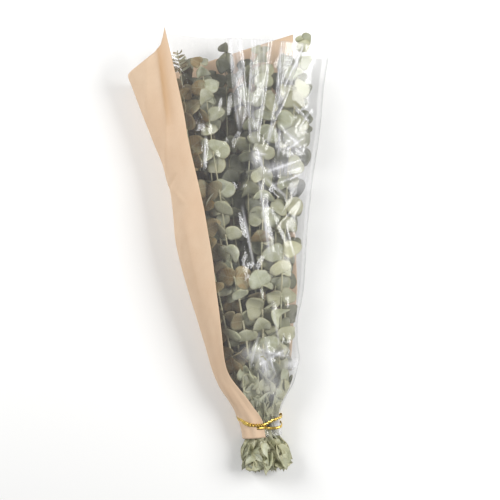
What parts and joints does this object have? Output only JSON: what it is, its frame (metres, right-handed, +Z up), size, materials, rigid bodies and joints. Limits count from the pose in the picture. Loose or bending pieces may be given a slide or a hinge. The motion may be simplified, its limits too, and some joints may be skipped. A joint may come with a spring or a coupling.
{
  "type": "dried eucalyptus bunch",
  "caption": "Long gathered bunch of leafy dried branches in a tapering kraft paper and clear film sleeve, twist-tied at the neck and lying on its back.",
  "frame": {"origin": "middle of the bunch's outline on the surface it lies on", "axes": "+Y from the tied neck to the branch tips, +Z up off the surface, +X to the clear film's side"},
  "size_m": [0.3018, 0.66, 0.0949],
  "materials": {
    "dried_eucalyptus": "matt waxy dried leaves on thin woody stems",
    "kraft_paper": "natural kraft, matt, softly creased",
    "clear_film": "clear cellophane, glossy, crumpled",
    "gold_tie": "gold metallised strip over wire, shiny"
  },
  "bodies": {
    "root": {"branch_01": "dried_eucalyptus", "branch_02": "dried_eucalyptus", "branch_03": "dried_eucalyptus", "branch_04": "dried_eucalyptus", "branch_05": "dried_eucalyptus", "branch_06": "dried_eucalyptus", "branch_07": "dried_eucalyptus", "branch_08": "dried_eucalyptus", "branch_09": "dried_eucalyptus", "branch_10": "dried_eucalyptus", "branch_11": "dried_eucalyptus", "branch_12": "dried_eucalyptus", "branch_13": "dried_eucalyptus", "branch_14": "dried_eucalyptus", "kraft_paper": "kraft_paper", "clear_film": "clear_film", "twist_tie": "gold_tie"}
  },
  "joints": []
}
